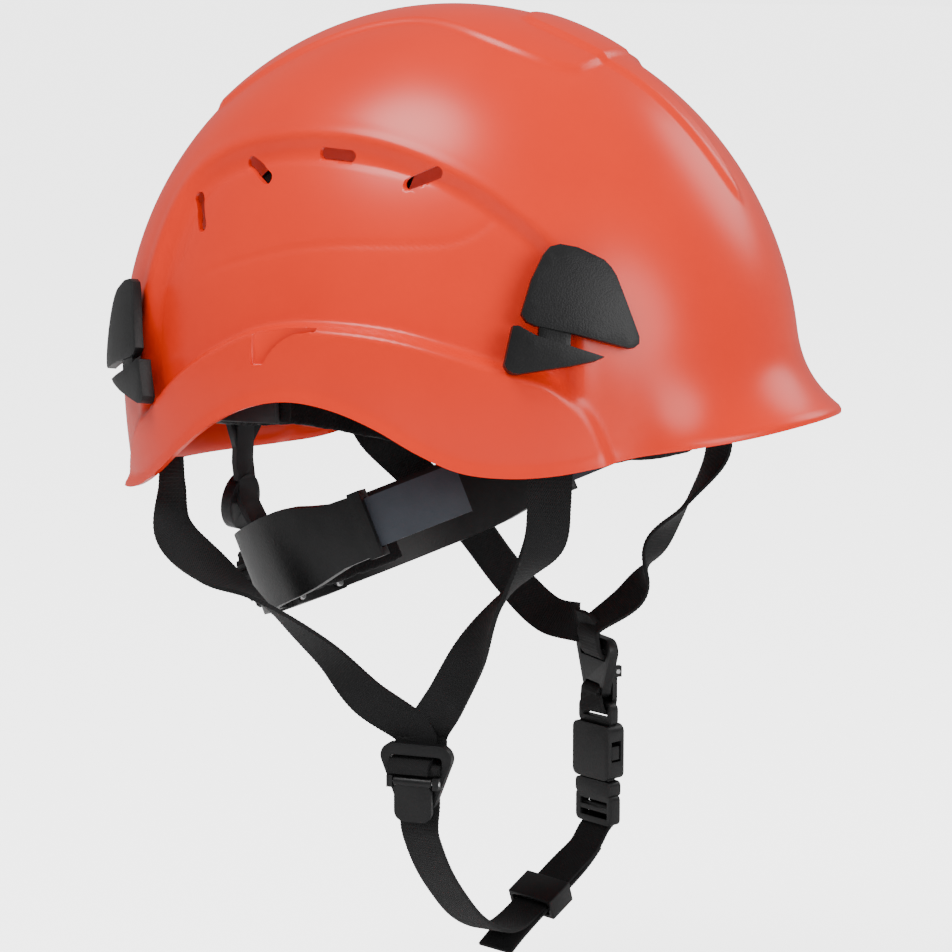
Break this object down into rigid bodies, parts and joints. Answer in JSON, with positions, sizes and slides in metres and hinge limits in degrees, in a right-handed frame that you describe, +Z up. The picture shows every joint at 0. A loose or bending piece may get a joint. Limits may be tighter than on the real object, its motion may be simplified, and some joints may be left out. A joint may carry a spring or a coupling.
{
  "type": "arborist helmet",
  "caption": "Arborist climbing helmet: vented shell with short peak, lamp clips, ratchet headband, webbing harness and side-release chin strap.",
  "frame": {"origin": "centre of the head opening at the headband level, where a head carries the helmet", "axes": "+Z up, the peak faces -Y, the wearer's right is -X"},
  "size_m": [0.22, 0.295, 0.3749],
  "materials": {
    "shell_orange": "smooth gloss moulded ABS, orange-red",
    "clip_black": "fine-textured satin black moulding",
    "suspension_grey": "dark grey flexible moulding",
    "rack_grey": "blue-grey flexible moulding",
    "pinion_white": "unpainted acetal",
    "pad_black": "knit cloth over foam",
    "crown_tape": "woven tape",
    "webbing_black": "cross-ribbed polyester webbing",
    "steel": "plain zinc-plated steel"
  },
  "bodies": {
    "helmet": {"shell": "shell_orange", "front_right_lamp_clip": "clip_black", "front_left_lamp_clip": "clip_black", "rear_right_lamp_clip": "clip_black", "rear_left_lamp_clip": "clip_black", "right_suspension_lugs": "suspension_grey", "left_suspension_lugs": "suspension_grey", "rear_hoop": "suspension_grey", "rear_pad": "pad_black", "headband": "suspension_grey", "sweatband": "pad_black", "nape_yoke": "suspension_grey", "crown_strap_long": "crown_tape", "crown_strap_cross": "crown_tape", "crown_pad": "pad_black", "right_rear_strut": "suspension_grey", "left_rear_strut": "suspension_grey", "ratchet_housing": "clip_black", "ratchet_inner_cover": "clip_black", "cover_screws": "steel", "nape_pad": "pad_black", "right_rear_strap_anchor": "suspension_grey", "right_front_strap_anchor": "suspension_grey", "left_rear_strap_anchor": "suspension_grey", "left_front_strap_anchor": "suspension_grey", "right_rear_strap": "webbing_black", "right_front_strap": "webbing_black", "left_rear_strap": "webbing_black", "left_front_strap": "webbing_black", "right_divider_frame": "clip_black", "right_divider_pin": "steel", "left_divider_frame": "clip_black", "left_divider_pin": "steel", "buckle_socket": "clip_black", "buckle_plug": "clip_black", "chin_strap": "webbing_black", "strap_tail": "webbing_black"},
    "adjuster": {"adjuster_knob": "clip_black", "drive_pinion": "pinion_white"},
    "right_rack": {"right_rack_band": "rack_grey"},
    "left_rack": {"left_rack_band": "rack_grey"},
    "right_lever": {"right_divider_lever": "clip_black"},
    "left_lever": {"left_divider_lever": "clip_black"},
    "buckle_front_latch": {"buckle_front_arm": "clip_black"},
    "buckle_rear_latch": {"buckle_rear_arm": "clip_black"},
    "keeper": {"strap_keeper": "clip_black"}
  },
  "joints": [
    {"name": "adjuster_turn", "type": "hinge", "parent": "helmet", "child": "adjuster", "pos_m": [0, 0.08622, -0.06961], "axis": [0, -0.9135, 0.4067], "range_deg": [-155, 200]},
    {"name": "right_rack_slide", "type": "hinge", "parent": "helmet", "child": "right_rack", "pos_m": [0, 0.004, -0.033], "axis": [0, -0.4067, -0.9135], "range_deg": [-12, 15.5]},
    {"name": "left_rack_slide", "type": "hinge", "parent": "helmet", "child": "left_rack", "pos_m": [0, 0.004, -0.033], "axis": [0, 0.4067, 0.9135], "range_deg": [-12, 15.5]},
    {"name": "right_lever_flip", "type": "hinge", "parent": "helmet", "child": "right_lever", "pos_m": [-0.07666, -0.02259, -0.1264], "axis": [-0.1392, 0.9903, 0], "range_deg": [0, 100]},
    {"name": "left_lever_flip", "type": "hinge", "parent": "helmet", "child": "left_lever", "pos_m": [0.06544, -0.03491, -0.1094], "axis": [-0.5736, -0.8192, 0], "range_deg": [0, 100]},
    {"name": "buckle_front_squeeze", "type": "hinge", "parent": "helmet", "child": "buckle_front_latch", "pos_m": [0.05824, -0.0402, -0.155], "axis": [-0.9397, 0.342, 0], "range_deg": [0, 6], "stiffness_Nm_per_rad": 0.3},
    {"name": "buckle_rear_squeeze", "type": "hinge", "parent": "helmet", "child": "buckle_rear_latch", "pos_m": [0.06276, -0.0278, -0.155], "axis": [0.9397, -0.342, 0], "range_deg": [0, 6], "stiffness_Nm_per_rad": 0.3},
    {"name": "keeper_slide", "type": "slide", "parent": "helmet", "child": "keeper", "axis": [0.8939, -0.1896, 0.4063], "range_m": [-0.007, 0.007]}
  ],
  "couplings": [
    {"joint": "right_rack_slide", "follows": "adjuster_turn", "ratio": 0.076394},
    {"joint": "left_rack_slide", "follows": "adjuster_turn", "ratio": 0.076394}
  ]
}
